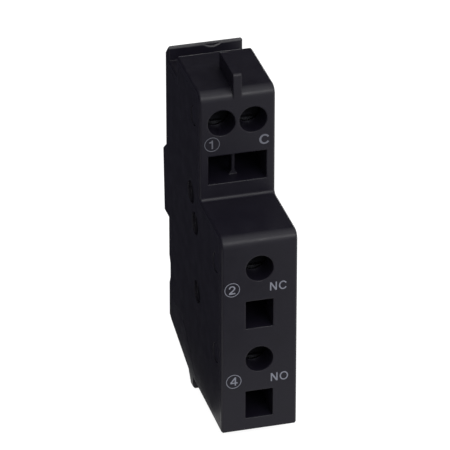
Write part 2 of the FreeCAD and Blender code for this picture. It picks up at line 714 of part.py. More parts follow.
def nc_strip():
    """Strip with the normally closed contact, folded round behind the blade."""
    face = BLADE_Y + MOVING_H + BLADE_T / 2 + CONTACT_H + STRIP_T / 2
    out = SWITCH_W / 2 - SWITCH_WALL - PIN_FIT
    strip = bent_strip([
        (SWITCH_BASE - TAB_OUT, NC_TAB_Z, 0),
        (face, NC_TAB_Z, STRIP_T),
        (face, CONTACT_Z - STRIP_END, 0),
    ], STRIP_T, -TAB_W / 2, out)
    inside = SWITCH_BASE + SWITCH_WALL
    riser = BLADE_X + BLADE_W / 2 + STRIP_CLEAR
    above = NC_TAB_Z + STRIP_T
    cuts = [
        box(TAB_W / 2, out + PAST, SWITCH_BASE - TAB_OUT - PAST, inside, NC_TAB_Z - STRIP_T, above),
        box(-TAB_W / 2 - PAST, riser, inside + STRIP_STEP, face + STRIP_T,
            NC_TAB_Z - 2 * STRIP_T, above),
    ]
    return strip.cut(cuts)


def no_strip():
    """Strip with the normally open contact, between the base and the blade."""
    face = BLADE_Y - MOVING_H - BLADE_T / 2 - CONTACT_GAP - CONTACT_H - STRIP_T / 2
    return bent_strip([
        (SWITCH_BASE - TAB_OUT, NO_TAB_Z, 0),
        (face, NO_TAB_Z, STRIP_T),
        (face, CONTACT_Z + STRIP_END, 0),
    ], STRIP_T, -TAB_W / 2, TAB_W / 2)


def contact_head(y0, y1):
    """Round head of a contact rivet."""
    return rod_y(CONTACT_D / 2, y0, y1, BLADE_X, CONTACT_Z)


def nc_contact():
    start = BLADE_Y + BLADE_T / 2 + MOVING_H
    return contact_head(start, start + CONTACT_H)


def no_contact():
    end = BLADE_Y - BLADE_T / 2 - MOVING_H - CONTACT_GAP
    return contact_head(end - CONTACT_H, end)


def moving_contact():
    """Double-faced contact riveted through the end of the blade."""
    reach = BLADE_T / 2 + MOVING_H
    head = contact_head(BLADE_Y - reach, BLADE_Y - BLADE_T / 2)
    tail = contact_head(BLADE_Y + BLADE_T / 2, BLADE_Y + reach)
    shank = rod_y(CONTACT_D / 4, BLADE_Y - BLADE_T, BLADE_Y + BLADE_T, BLADE_X, CONTACT_Z)
    return head.fuse([tail, shank])


def moving_blade():
    """Sprung blade, pierced for the snap spring and the contact's shank."""
    y0 = BLADE_Y - BLADE_T / 2
    blade = box(BLADE_X - BLADE_W / 2, BLADE_X + BLADE_W / 2, y0, y0 + BLADE_T,
                CONTACT_Z - BLADE_END, PIVOT_Z - BLADE_PLAY)
    window = box(BLADE_X - BLADE_WINDOW_W / 2, BLADE_X + BLADE_WINDOW_W / 2, y0 - PAST, y0 + PAST,
                 CONTACT_Z + BLADE_WINDOW_LOW, PIVOT_Z - BLADE_WINDOW_HIGH)
    rivet = rod_y(CONTACT_D / 4, y0 - PAST, y0 + PAST, BLADE_X, CONTACT_Z)
    return blade.cut([window, rivet])


def snap_spring():
    """Bowed tongue that sits in the blade's window and snaps the blade over."""
    low = CONTACT_Z + BLADE_WINDOW_LOW
    high = PIVOT_Z - BLADE_WINDOW_HIGH
    half = (high - low) / 2
    radius = (half ** 2 + SNAP_H ** 2) / (2 * SNAP_H)
    centre = (BLADE_Y + SNAP_H - radius, (high + low) / 2)
    outer = rod_x(radius + SNAP_T / 2, BLADE_X - SNAP_W / 2, BLADE_X + SNAP_W / 2, *centre)
    inner = rod_x(radius - SNAP_T / 2, BLADE_X - SNAP_W, BLADE_X + SNAP_W, *centre)
    window = box(-HALF, HALF, BLADE_Y - BLADE_T / 2, SWITCH_BACK, low, high)
    return outer.cut(inner).common(window)


def switch_plunger():
    """Plunger of the switch, with a flange that keeps it in the case."""
    inner_end = BLADE_Y + SNAP_H + SNAP_T + TRAVEL
    outer_end = SWITCH_BACK + PLUNGER_OUT
    stem = rod_y(PLUNGER_D / 2, inner_end, outer_end, 0, PLUNGER_Z)
    flange_back = SWITCH_BACK - 2 * SWITCH_WALL
    flange = rod_y(PLUNGER_FLANGE_D / 2 - FLANGE_CLEAR, flange_back - PLUNGER_FLANGE_T, flange_back,
                   0, PLUNGER_Z)
    tip = [e for e in stem.Edges if near(e.CenterOfMass.y, outer_end)]
    return stem.makeChamfer(TIP_BREAK, tip).fuse(flange).removeSplitter()


def actuator_button():
    """Push button: a flange inside the boss, a rounded nose outside, a cup for the spring."""
    front = BOSS_INSIDE - FLANGE_T
    flange = box(COVER_IN + BUTTON_FIT, FLOOR_X - BUTTON_FIT, front, BOSS_INSIDE,
                 PLUNGER_Z - FLANGE_H / 2, PLUNGER_Z + FLANGE_H / 2)
    nose = box(-BUTTON_W / 2, BUTTON_W / 2, front, BUTTON_TIP,
               PLUNGER_Z - BUTTON_H / 2, PLUNGER_Z + BUTTON_H / 2)
    rounds = [e for e in nose.Edges if near(e.CenterOfMass.y, BUTTON_TIP)]
    nose = nose.makeFillet(BUTTON_R, rounds)
    cup = rod_y(COIL_D / 2 + SPRING_WIRE / 2 + COIL_FIT, front - PAST, BOSS_BACK, 0, PLUNGER_Z)
    post = rod_y(PLUNGER_D / 2, SWITCH_BACK + PLUNGER_OUT, BOSS_BACK + JOIN, 0, PLUNGER_Z)
    return flange.fuse(nose).cut(cup).fuse(post).removeSplitter()


def return_spring():
    """Coil spring between the switch's back and the push button, with ground flat ends."""
    length = BOSS_BACK - SWITCH_BACK
    radius = COIL_D / 2
    grind = SPRING_WIRE * GROUND_SHARE
    pitch = (length + 2 * grind) / COIL_TURNS
    helix = Part.makeHelix(pitch, length + 2 * grind, radius)
    start = vec(radius, 0, 0)
    along = vec(0, 2 * math.pi * radius, pitch).normalize()
    across = (vec(1, 0, 0), along.cross(vec(1, 0, 0)))
    ring = []
    for side in range(WIRE_SIDES + 1):
        angle = 2 * math.pi * side / WIRE_SIDES
        offset = across[0] * math.cos(angle) + across[1] * math.sin(angle)
        ring.append(start + offset * (SPRING_WIRE / 2))
    coil = Part.Wire(helix.Edges).makePipeShell([Part.makePolygon(ring)], True, True)
    coil.translate(vec(0, 0, -grind))
    spring = coil.common(Part.makeCylinder(COIL_D, length)).Solids[0]
    spring.rotate(vec(0, 0, 0), vec(1, 0, 0), -90)
    spring.translate(vec(0, SWITCH_BACK, PLUNGER_Z))
    return spring


def pieces():
    """Every piece of the block by its name."""
    top, nc, no = TERMINALS
    return {
        "main_housing": main_housing(),
        "side_cover": side_cover(),
        "actuator_button": actuator_button(),
        "return_spring": return_spring(),
        "switch_case": switch_case(),
        "switch_cover": switch_cover(),
        "switch_plunger": switch_plunger(),
        "com_strip": com_strip(),
        "nc_strip": nc_strip(),
        "no_strip": no_strip(),
        "nc_contact": nc_contact(),
        "no_contact": no_contact(),
        "moving_contact": moving_contact(),
        "moving_blade": moving_blade(),
        "snap_spring": snap_spring(),
        "common_busbar": common_busbar(),
        "nc_busbar": nc_busbar(),
        "no_busbar": no_busbar(),
        "common_clamp_left": clamp_spring(top[0], top[1], top[3][0]),
        "common_clamp_right": clamp_spring(top[0], top[1], top[3][1]),
        "nc_clamp": clamp_spring(nc[0], nc[1], nc[3][0]),
        "no_clamp": clamp_spring(no[0], no[1], no[3][0]),
    }


os.makedirs("parts", exist_ok=True)
for name, shape in pieces().items():
    place(shape).exportStep(f"parts/{name}.step")
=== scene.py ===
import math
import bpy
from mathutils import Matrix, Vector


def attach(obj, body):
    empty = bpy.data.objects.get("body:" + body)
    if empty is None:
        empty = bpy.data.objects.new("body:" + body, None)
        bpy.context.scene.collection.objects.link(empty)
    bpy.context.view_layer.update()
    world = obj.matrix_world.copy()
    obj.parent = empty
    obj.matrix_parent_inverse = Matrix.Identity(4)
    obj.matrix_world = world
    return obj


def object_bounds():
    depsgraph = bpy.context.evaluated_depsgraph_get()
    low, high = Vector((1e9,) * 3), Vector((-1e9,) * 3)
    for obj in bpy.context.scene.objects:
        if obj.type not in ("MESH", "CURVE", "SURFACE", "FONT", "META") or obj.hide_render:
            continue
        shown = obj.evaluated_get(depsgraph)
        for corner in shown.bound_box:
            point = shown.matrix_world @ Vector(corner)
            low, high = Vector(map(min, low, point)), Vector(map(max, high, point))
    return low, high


bl_info = {
    "name": "Auxiliary contact block",
    "version": (1, 0, 0),
    "blender": (4, 5, 0),
    "location": "3D View > Sidebar > Contact block",
    "description": "Gives the contact block its finishes and printed marks, and a small studio",
    "category": "Object",
}

import bmesh
import bpy
from bpy.props import FloatProperty, FloatVectorProperty, PointerProperty
from mathutils import Matrix, Vector

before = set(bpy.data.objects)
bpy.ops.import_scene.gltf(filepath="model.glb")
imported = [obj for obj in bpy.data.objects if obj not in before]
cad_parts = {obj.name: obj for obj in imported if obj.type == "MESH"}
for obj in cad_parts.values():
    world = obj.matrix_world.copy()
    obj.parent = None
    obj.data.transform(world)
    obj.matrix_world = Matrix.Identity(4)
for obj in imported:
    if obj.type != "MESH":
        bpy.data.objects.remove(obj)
CAD_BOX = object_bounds()

MM = 0.001
BODY = "block"

# Front faces of the moulding: the lower one is the foremost face of the block, and the upper
# one stands back by the depth of the ledge between them.
LEDGE_DEPTH = 12.8 * MM
LOWER_FRONT = CAD_BOX[0].y
UPPER_FRONT = LOWER_FRONT + LEDGE_DEPTH

# Carried-over pieces that share a metal
STEEL_PIECES = ("common_clamp_left", "common_clamp_right", "nc_clamp", "no_clamp", "return_spring")
TINNED_PIECES = ("common_busbar", "nc_busbar", "no_busbar", "com_strip", "nc_strip", "no_strip")
CONTACTS = ("nc_contact", "no_contact", "moving_contact")
BLADES = ("moving_blade", "snap_spring")

# A noise texture seldom leaves this range, so it is stretched to the full swing of the gloss.
NOISE_LOW = 0.3
NOISE_HIGH = 0.7
# How far the roughness of plastic and of metal drifts to either side
PLASTIC_DRIFT = 0.05
METAL_DRIFT = 0.08
METAL_PATCH = 1.5 * MM
PLASTIC_IOR = 1.5

# Moulded edges are never sharp: the tool leaves them rounded by about this much, and handling
# rubs them smoother than the faces.
EDGE_ROUND = 0.28 * MM
EDGE_SAMPLES = 6
RUBBED = 0.78
# Cosine between rounded and flat normal at which an edge is fully rubbed, and where it ends
RUBBED_FROM = 0.8
RUBBED_TO = 0.98
# Share of a normal that faces forward, from which an edge is rounded, and fully rounded
FORWARD_FROM = 0.02
FORWARD_TO = 0.2

# Rim of the tongue plate and of its scoop. The plate is all that lies so far back and high.
PLATE_FRONT = 12.6 * MM
PLATE_TOP = 53.35 * MM
RIM_REACH = 1.2 * MM
# The front's top strip turns to the rim's normal between these depths below the plate's top.
RIM_START = 0.5 * MM
RIM_FULL = 0.25 * MM
# A face that looks up at least this much belongs to the rim.
LEVEL_FROM = 0.3
LEVEL_TO = 0.7
RIM_NORMAL = (0, -0.85, 0.53)

# Pad-printed ink: its patches, the plastic that shows through where it is rubbed thin, how
# much ink is left there, and how far round that place it is thinner
INK_PATCH = 0.35 * MM
INK_SPREAD = 0.16
INK_RELIEF = 0.006 * MM
UNDER_INK = "#18181e"
THIN_COVER = 0.5
THIN_FROM = 2.5 * MM
THIN_TO = 20 * MM

# Middles of the marks: the front face, then x and z in millimetres
RINGS = (
    (UPPER_FRONT, -4.01, 45.6),
    (LOWER_FRONT, -4.34, 27.14),
    (LOWER_FRONT, -4.08, 10.85),
)
NUMBERS = (
    ("1", (UPPER_FRONT, -4.10, 45.59)),
    ("2", (LOWER_FRONT, -4.36, 27.13)),
    ("4", (LOWER_FRONT, -4.05, 10.86)),
)
# Widths of the letters' lines, as shares of their height
STROKE = 0.148
BOLD_STROKE = 0.175
# Words with their heights, lines, widening and places
LETTERS = (
    ("C", "common_cap", BOLD_STROKE, 1.13, (UPPER_FRONT, 4.27, 45.43)),
    ("NC", "cap", STROKE, 1.0, (LOWER_FRONT, 2.97, 26.9)),
    ("NO", "cap", STROKE, 1.0, (LOWER_FRONT, 3.23, 10.74)),
)
# Gap between two letters, as a share of their height
LETTER_GAP = 0.23
# Straight steps round a ring, and the distance in metres at which two points count as one
RING_STEPS = 72
SAME_POINT = 1e-7

# Point that the camera looks at, a little left of the block's middle, then the sensor's width
# in millimetres and the nearest distance that is drawn, in metres
LOOK_AT = Vector((-1.1204, -2.6594, 29.4820)) * MM
SENSOR_WIDTH = 36
CLIP_START = 0.01

# The studio is plain white to the camera. Reflections see this share of it, so that the black
# plastic keeps its depth, and the block is lit by the air at a lower, plain level.
GLOSSY_SHARE = 0.52
AIR_LIGHT = 0.56
# The white floor reaches this far each way, in metres. It glows by this much of itself, and
# the light that falls on it adds up to this much, which leaves a faint shadow by the block.
SWEEP_REACH = 3.0
SWEEP_GLOW = 0.92
SWEEP_SHADOW = 0.3

# Cards that only reflections see, with linear colours and with their corners in metres. The
# left side mirrors the slate ones, which give it a bluish tone. The fronts and the tops mirror
# the black ones, which keep them deep. A card that lies on the floor is this far above it.
CARD_PAINTS = {"black": (0.015, 0.015, 0.015), "slate": (0.07, 0.068, 0.095)}
LYING = 0.0002
CARDS = {
    "card_left": ("slate", [
        (-0.10, -0.06, 0), (-0.10, 0.35, 0), (-0.10, 0.35, 0.3), (-0.10, -0.06, 0.3)]),
    "card_left_low": ("slate", [
        (-0.10, -0.01, LYING), (-0.007, -0.01, LYING), (-0.007, 0.35, LYING),
        (-0.10, 0.35, LYING)]),
    "card_front_low": ("black", [
        (-0.2, -0.5, LYING), (0.05, -0.5, LYING), (0.012, -0.045, LYING), (-0.2, -0.045, LYING)]),
    "card_back_low": ("black", [
        (-0.15, 0.34, 0), (0.02, 0.34, 0), (0.02, 0.34, 0.12), (-0.15, 0.34, 0.12)]),
    "card_back": ("black", [
        (-0.15, 0.35, 0.09), (0.4, 0.35, 0.09), (0.4, 0.35, 0.5), (-0.15, 0.35, 0.5)]),
}

# Lamps: direction from the block, distance, width and height in metres, and power in watts
LAMPS_AIM = Vector((0, 0, 28)) * MM
LAMPS = {
    "key": ((0.23, -0.80, 0.57), 0.6, (0.26, 0.10), 1.12),
    "top": ((0.15, -0.30, 0.94), 0.6, (0.36, 0.30), 0.44),
    "fill_right": ((0.9, -0.6, 0.5), 0.7, (0.3, 0.3), 0.38),
    "fill_front": ((-0.24, -0.84, 0.50), 0.7, (0.2, 0.2), 0.12),
    "back_low": ((0.35, 0.94, -0.02), 0.6, (0.35, 0.03), 0.5),
}


def linear(text):
    """An sRGB colour such as #1a2b3c as three linear values."""
    values = []
    for start in (1, 3, 5):
        share = int(text[start:start + 2], 16) / 255
        values.append(share / 12.92 if share <= 0.04045 else ((share + 0.055) / 1.055) ** 2.4)
    return tuple(values)


def colour_property(name, description, text):
    """Colour with an sRGB default."""
    return FloatVectorProperty(
        name=name, description=description, subtype="COLOR", min=0.0, max=1.0,
        default=linear(text),
    )


def length_property(name, description, millimetres):
    """Length with a default in millimetres."""
    return FloatProperty(
        name=name, description=description, subtype="DISTANCE", unit="LENGTH", min=0.0,
        precision=5, default=millimetres * MM,
    )


def angle_property(name, description, degrees):
    """Angle with a default in degrees."""
    return FloatProperty(
        name=name, description=description, subtype="ANGLE", default=math.radians(degrees),
    )


class BlockFinish(bpy.types.PropertyGroup):
    """Colours of the block's plastics and metals."""
    housing: colour_property("Housing", "Black polyamide of the housing", "#14121c")
    cover: colour_property("Cover", "Black polyamide of the side cover", "#14121b")
    button: colour_property("Push button", "Black acetal of the push button", "#17171b")
    switch: colour_property("Switch case", "Brown-black phenolic of the switch", "#2b2421")
    plunger: colour_property("Plunger", "Red acetal of the switch's plunger", "#8c2118")
    # The steel's default colour is painted shade: darkened far below real spring steel, for clamps
    # in the shade of the wire entries.
    steel: colour_property("Spring steel", "Strip and wire, darkened as painted shade", "#26262a")
    # The tin's default colour is painted shade: darkened far below real tin, for bars in the shade
    # of the wire entries.
    tin: colour_property("Tinned copper", "Current bars and contact strips", "#45464b")
    silver: colour_property("Silver", "Contact rivets", "#d8d5cd")
    copper: colour_property("Beryllium copper", "Blade and snap spring", "#bd8f52")
    ink: colour_property("Ink", "Printed rings, numbers and letters", "#7f818c")


class BlockMarks(bpy.types.PropertyGroup):
    """Sizes of the printed marks on the front faces."""
    ring: length_property("Ring", "Outside diameter of the ring round a number", 2.43)
    ring_stroke: length_property("Ring line", "Width of the ring's line", 0.108)
    digit: length_property("Number height", "Height of the number in a ring", 1.46)
    cap: length_property("Letter height", "Height of the letters of the lower terminals", 1.42)
    common_cap: length_property("Common letter", "Height of the common terminal's letter", 1.64)
    ink: length_property("Ink", "Thickness of the printed ink", 0.02)
    sink: length_property("Sink", "How far the ink keys into the grain", 0.01)


class BlockStage(bpy.types.PropertyGroup):
    """Camera and floor of the small studio."""
    turn: angle_property("Camera turn", "Camera's angle round the block from its front", 15.316)
    rise: angle_property("Camera rise", "Camera's angle above the horizon", 29.21)
    distance: length_property("Camera distance", "From the camera to what it looks at", 709)
    lens: FloatProperty(
        name="Lens", description="Focal length on a 36 mm sensor, in millimetres",
        default=366.0, min=1.0,
    )
    floor: colour_property("Floor", "Pale floor of the studio", "#d9d9d9")


def add(tree, kind, values=None, **settings):
    """A new node with its settings; each value is a plain value or the socket that feeds it."""
    node = tree.nodes.new(kind)
    for key, value in settings.items():
        setattr(node, key, value)
    for key, value in (values or {}).items():
        socket = node.inputs[key]
        if isinstance(value, bpy.types.NodeSocket):
            tree.links.new(value, socket)
        else:
            socket.default_value = value
    return node


def opaque(colour, factor=1.0):
    """A linear colour with full alpha, made lighter or darker by a factor."""
    return (colour[0] * factor, colour[1] * factor, colour[2] * factor, 1.0)


def empty_material(name, colour):
    """Material with a cleared node tree, shown in the viewport in its colour."""
    material = bpy.data.materials.new(name)
    material.use_nodes = True
    material.diffuse_color = opaque(colour)
    material.node_tree.nodes.clear()
    return material


def finish_surface(tree, shader):
    """Leads the last shader to the material's surface."""
    add(tree, "ShaderNodeOutputMaterial", {"Surface": shader.outputs[0]})


def mottled(tree, place, colour, size, spread, draw=0.0):
    """Cloud over patches of the given size, and the colour that drifts a little darker and
    lighter with it. Each draw lays the patches out anew."""
    cloud = add(
        tree, "ShaderNodeTexNoise",
        {"Vector": place, "W": draw, "Scale": 1 / size, "Detail": 2.0, "Roughness": 0.5},
        noise_dimensions="4D",
    ).outputs["Fac"]
    shades = {"Factor": cloud, "A": opaque(colour, 1 - spread), "B": opaque(colour, 1 + spread)}
    return cloud, add(tree, "ShaderNodeMix", shades, data_type="RGBA").outputs["Result"]


def rounded_edges(tree):
    """Normal that rounds off the front-facing edges, and the factor on their roughness."""
    edge = add(tree, "ShaderNodeBevel", {"Radius": EDGE_ROUND}, samples=EDGE_SAMPLES).outputs[0]
    flat = add(tree, "ShaderNodeNewGeometry").outputs["True Normal"]
    forward = add(tree, "ShaderNodeVectorMath", {0: edge, 1: (0, -1, 0)}, operation="DOT_PRODUCT")
    aligned = add(tree, "ShaderNodeVectorMath", {0: edge, 1: flat}, operation="DOT_PRODUCT")
    rubbed = add(
        tree, "ShaderNodeMapRange",
        {"Value": aligned.outputs["Value"], "From Min": RUBBED_FROM, "From Max": RUBBED_TO,
         "To Min": RUBBED, "To Max": 1.0},
    )
    front = add(
        tree, "ShaderNodeMapRange",
        {"Value": forward.outputs["Value"], "From Min": FORWARD_FROM, "From Max": FORWARD_TO},
    )
    normal = add(
        tree, "ShaderNodeMix", {"Factor": front.outputs["Result"], "A": flat, "B": edge},
        data_type="VECTOR",
    )
    return normal.outputs["Result"], rubbed.outputs["Result"]


def rounded_rim(tree, place, normal):
    """Normal that turns up along the rim of the tongue plate and of its scoop. The rim is
    rounded off there, so it draws a thin light line along the top of the plate."""
    parts = add(tree, "ShaderNodeSeparateXYZ", {"Vector": place}).outputs
    facing = add(tree, "ShaderNodeSeparateXYZ", {"Vector": normal}).outputs
    far = add(tree, "ShaderNodeMath", {0: parts["Y"], 1: PLATE_FRONT}, operation="GREATER_THAN")
    high = add(
        tree, "ShaderNodeMath", {0: parts["Z"], 1: PLATE_TOP - RIM_REACH},
        operation="GREATER_THAN",
    )
    upper = add(
        tree, "ShaderNodeMath", {0: far.outputs[0], 1: high.outputs[0]}, operation="MULTIPLY")
    strip = add(
        tree, "ShaderNodeMapRange",
        {"Value": parts["Z"], "From Min": PLATE_TOP - RIM_START, "From Max": PLATE_TOP - RIM_FULL},
    )
    level = add(
        tree, "ShaderNodeMapRange",
        {"Value": facing["Z"], "From Min": LEVEL_FROM, "From Max": LEVEL_TO},
    )
    either = add(
        tree, "ShaderNodeMath", {0: strip.outputs["Result"], 1: level.outputs["Result"]},
        operation="MAXIMUM",
    )
    share = add(
        tree, "ShaderNodeMath", {0: upper.outputs[0], 1: either.outputs[0]}, operation="MULTIPLY")
    bent = add(
        tree, "ShaderNodeMix", {"Factor": share.outputs[0], "A": normal, "B": RIM_NORMAL},
        data_type="VECTOR",
    )
    unit = add(tree, "ShaderNodeVectorMath", {0: bent.outputs["Result"]}, operation="NORMALIZE")
    return unit.outputs["Vector"]


def moulded_plastic(name, colour, roughness, level, grain, depth, patch=2.6 * MM, spread=0.15,
                    draw=0.0):
    """Injection-moulded plastic. The spark-eroded tool leaves a fine even grain, which breaks
    a lamp's reflection into a soft sheen. The skin's gloss drifts a little where fibres or
    flow lie near the surface, and the rounded edges gleam more than the faces."""
    material = empty_material(name, colour)
    tree = material.node_tree
    place = add(tree, "ShaderNodeTexCoord").outputs["Object"]
    cloud, base = mottled(tree, place, colour, patch, spread, draw)
    normal, rubbed = rounded_edges(tree)
    gloss = add(
        tree, "ShaderNodeMapRange",
        {"Value": cloud, "From Min": NOISE_LOW, "From Max": NOISE_HIGH,
         "To Min": roughness - PLASTIC_DRIFT, "To Max": roughness + PLASTIC_DRIFT},
    )
    smooth = add(
        tree, "ShaderNodeMath", {0: gloss.outputs["Result"], 1: rubbed}, operation="MULTIPLY")
    pits = add(
        tree, "ShaderNodeTexNoise",
        {"Vector": place, "Scale": 1 / grain, "Detail": 2.0, "Roughness": 0.6},
    )
    relief = add(
        tree, "ShaderNodeBump",
        {"Height": pits.outputs["Fac"], "Distance": depth, "Strength": 1.0,
         "Normal": rounded_rim(tree, place, normal)},
    )
    shader = add(
        tree, "ShaderNodeBsdfPrincipled",
        {"Base Color": base, "Roughness": smooth.outputs["Value"], "Specular IOR Level": level,
         "IOR": PLASTIC_IOR, "Normal": relief.outputs["Normal"]},
    )
    finish_surface(tree, shader)
    return material


def rolled_metal(name, colour, roughness, streak, run, depth, spread=0.06):
    """Cold-rolled strip. The rolls leave fine lines along it, so a lamp is drawn out across
    the lines and stays sharp along them."""
    material = empty_material(name, colour)
    tree = material.node_tree
    place = add(tree, "ShaderNodeTexCoord").outputs["Object"]
    lines = add(
        tree, "ShaderNodeMapping", {"Vector": place, "Scale": (1 / streak, 1 / run, 1 / run)})
    wear = add(
        tree, "ShaderNodeTexNoise",
        {"Vector": lines.outputs["Vector"], "Scale": 1.0, "Detail": 3.0, "Roughness": 0.6},
    ).outputs["Fac"]
    base = mottled(tree, place, colour, METAL_PATCH, spread)[1]
    gloss = add(
        tree, "ShaderNodeMapRange",
        {"Value": wear, "From Min": NOISE_LOW, "From Max": NOISE_HIGH,
         "To Min": roughness - METAL_DRIFT, "To Max": roughness + METAL_DRIFT},
    )
    relief = add(tree, "ShaderNodeBump", {"Height": wear, "Distance": depth, "Strength": 1.0})
    shader = add(
        tree, "ShaderNodeBsdfPrincipled",
        {"Base Color": base, "Metallic": 1.0, "Roughness": gloss.outputs["Result"],
         "Normal": relief.outputs["Normal"]},
    )
    finish_surface(tree, shader)
    return material


def pad_printed_ink(name, colour, thin_at):
    """Pad-printed ink. It is thin and satin, sinks into the grain, is a little greyer where
    the pad left less of it, and lets the black plastic show where it is rubbed thin."""
    material = empty_material(name, colour)
    tree = material.node_tree
    place = add(tree, "ShaderNodeTexCoord").outputs["Object"]
    cloud, full = mottled(tree, place, colour, INK_PATCH, INK_SPREAD)
    away = add(tree, "ShaderNodeVectorMath", {0: place, 1: thin_at}, operation="DISTANCE")
    cover = add(
        tree, "ShaderNodeMapRange",
        {"Value": away.outputs["Value"], "From Min": THIN_FROM, "From Max": THIN_TO,
         "To Min": THIN_COVER, "To Max": 1.0},
    )
    base = add(
        tree, "ShaderNodeMix",
        {"Factor": cover.outputs["Result"], "A": opaque(linear(UNDER_INK)), "B": full},
        data_type="RGBA",
    )
    relief = add(
        tree, "ShaderNodeBump", {"Height": cloud, "Distance": INK_RELIEF, "Strength": 1.0})
    shader = add(
        tree, "ShaderNodeBsdfPrincipled",
        {"Base Color": base.outputs["Result"], "Roughness": 0.55, "Specular IOR Level": 0.3,
         "Normal": relief.outputs["Normal"]},
    )
    finish_surface(tree, shader)
    return material


def dress(names, material):
    """Puts a finish on carried-over pieces of the frame."""
    for name in names:
        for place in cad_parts[name].material_slots:
            place.material = material


class DressMouldings(bpy.types.Operator):
    """Gives the housing, the cover and the push button their moulded plastics"""
    bl_idname = "block.dress_mouldings"
    bl_label = "Dress the mouldings"

    def execute(self, context):
        finish = context.scene.block_finish
        # Real grain is about 0.05 mm. It is drawn at 0.22 mm and more, so that it shows.
        dress(["main_housing"], moulded_plastic(
            "glass-filled polyamide, spark-eroded grain", finish.housing[:],
            roughness=0.43, level=0.28, grain=0.22 * MM, depth=0.010 * MM, draw=8.0))
        # The cover comes from another tool, with a slightly coarser and duller grain.
        dress(["side_cover"], moulded_plastic(
            "glass-filled polyamide, cover", finish.cover[:],
            roughness=0.46, level=0.27, grain=0.24 * MM, depth=0.011 * MM))
        # Acetal from a polished tool is smooth and has a tighter gleam than the housing.
        dress(["actuator_button"], moulded_plastic(
            "acetal, polished tool", finish.button[:],
            roughness=0.38, level=0.45, grain=0.5 * MM, depth=0.004 * MM))
        return {"FINISHED"}


class DressSwitch(bpy.types.Operator):
    """Gives the snap switch inside its phenolic case and red plunger"""
    bl_idname = "block.dress_switch"
    bl_label = "Dress the switch"

    def execute(self, context):
        finish = context.scene.block_finish
        # Phenolic is filled with wood flour, which makes it brownish and finely blotched.
        dress(["switch_case", "switch_cover"], moulded_plastic(
            "phenolic, compression moulded", finish.switch[:],
            roughness=0.5, level=0.5, grain=0.3 * MM, depth=0.006 * MM,
            patch=0.8 * MM, spread=0.2))
        # Turned acetal is even in colour and almost glossy.
        dress(["switch_plunger"], moulded_plastic(
            "red acetal, turned and polished", finish.plunger[:],
            roughness=0.32, level=0.5, grain=0.3 * MM, depth=0.003 * MM))
        return {"FINISHED"}


class DressMetals(bpy.types.Operator):
    """Gives the clamps, bars, contacts and blade their rolled metals"""
    bl_idname = "block.dress_metals"
    bl_label = "Dress the metals"

    def execute(self, context):
        finish = context.scene.block_finish
        # The steel's colour is painted shade: it is darkened far below real spring steel, so that
        # the clamps deep in the wire entries stay dim, with a dull gleam. Real rolling lines are
        # about 0.01 mm apart. Here and below they are drawn 10 to 40 times coarser, so that they
        # show.
        dress(STEEL_PIECES, rolled_metal(
            "spring steel strip, darkened as painted shade", finish.steel[:], 0.5,
            streak=0.12 * MM, run=3.0 * MM, depth=0.003 * MM))
        # Tin smooths the strip, so the bars in the dark entries catch a soft bright streak. Their
        # colour is
        # painted shade: darkened far below real tin, so that the bars deep in the entries stay
        # dim.
        dress(TINNED_PIECES, rolled_metal(
            "copper, tin plated, darkened as painted shade", finish.tin[:], 0.25,
            streak=0.4 * MM, run=1.5 * MM, depth=0.003 * MM, spread=0.1))
        # Headed rivets have no rolling lines left, only an even pale satin.
        dress(CONTACTS, rolled_metal(
            "silver nickel, headed", finish.silver[:], 0.38,
            streak=0.3 * MM, run=0.3 * MM, depth=0.004 * MM))
        # Bare beryllium copper is golden and fairly bright.
        dress(BLADES, rolled_metal(
            "beryllium copper, rolled", finish.copper[:], 0.3,
            streak=0.1 * MM, run=2.0 * MM, depth=0.002 * MM))
        return {"FINISHED"}


def ring_tree():
    """Node tree that puts a flat ring on each point of a mesh."""
    tree = bpy.data.node_groups.new("printed_rings", "GeometryNodeTree")
    face = tree.interface
    face.new_socket("Points", in_out="INPUT", socket_type="NodeSocketGeometry")
    for name in ("Diameter", "Line", "Thickness"):
        face.new_socket(name, in_out="INPUT", socket_type="NodeSocketFloat").subtype = "DISTANCE"
    face.new_socket("Material", in_out="INPUT", socket_type="NodeSocketMaterial")
    face.new_socket("Rings", in_out="OUTPUT", socket_type="NodeSocketGeometry")
    given = add(tree, "NodeGroupInput").outputs
    across = add(
        tree, "ShaderNodeMath", {0: given["Diameter"], 1: given["Line"]}, operation="SUBTRACT")
    radius = add(tree, "ShaderNodeMath", {0: across.outputs[0], 1: 0.5}, operation="MULTIPLY")
    circle = add(
        tree, "GeometryNodeCurvePrimitiveCircle",
        {"Resolution": RING_STEPS, "Radius": radius.outputs[0]},
    )
    section = add(
        tree, "GeometryNodeCurvePrimitiveQuadrilateral",
        {"Width": given["Line"], "Height": given["Thickness"]},
    )
    band = add(
        tree, "GeometryNodeCurveToMesh",
        {"Curve": circle.outputs["Curve"], "Profile Curve": section.outputs["Curve"]},
    )
    spread = add(
        tree, "GeometryNodeInstanceOnPoints",
        {"Points": given["Points"], "Instance": band.outputs["Mesh"],
         "Rotation": (math.radians(90), 0, 0)},
    )
    solid = add(
        tree, "GeometryNodeRealizeInstances", {"Geometry": spread.outputs["Instances"]})
    painted = add(
        tree, "GeometryNodeSetMaterial",
        {"Geometry": solid.outputs["Geometry"], "Material": given["Material"]},
    )
    add(tree, "NodeGroupOutput", {"Rings": painted.outputs["Geometry"]})
    return tree


def finished_mesh(holder):
    """Plain mesh of an object with its curve or modifier worked out. The object goes."""
    bpy.context.scene.collection.objects.link(holder)
    graph = bpy.context.evaluated_depsgraph_get()
    mesh = bpy.data.meshes.new_from_object(holder.evaluated_get(graph), depsgraph=graph)
    bpy.data.objects.remove(holder)
    return mesh


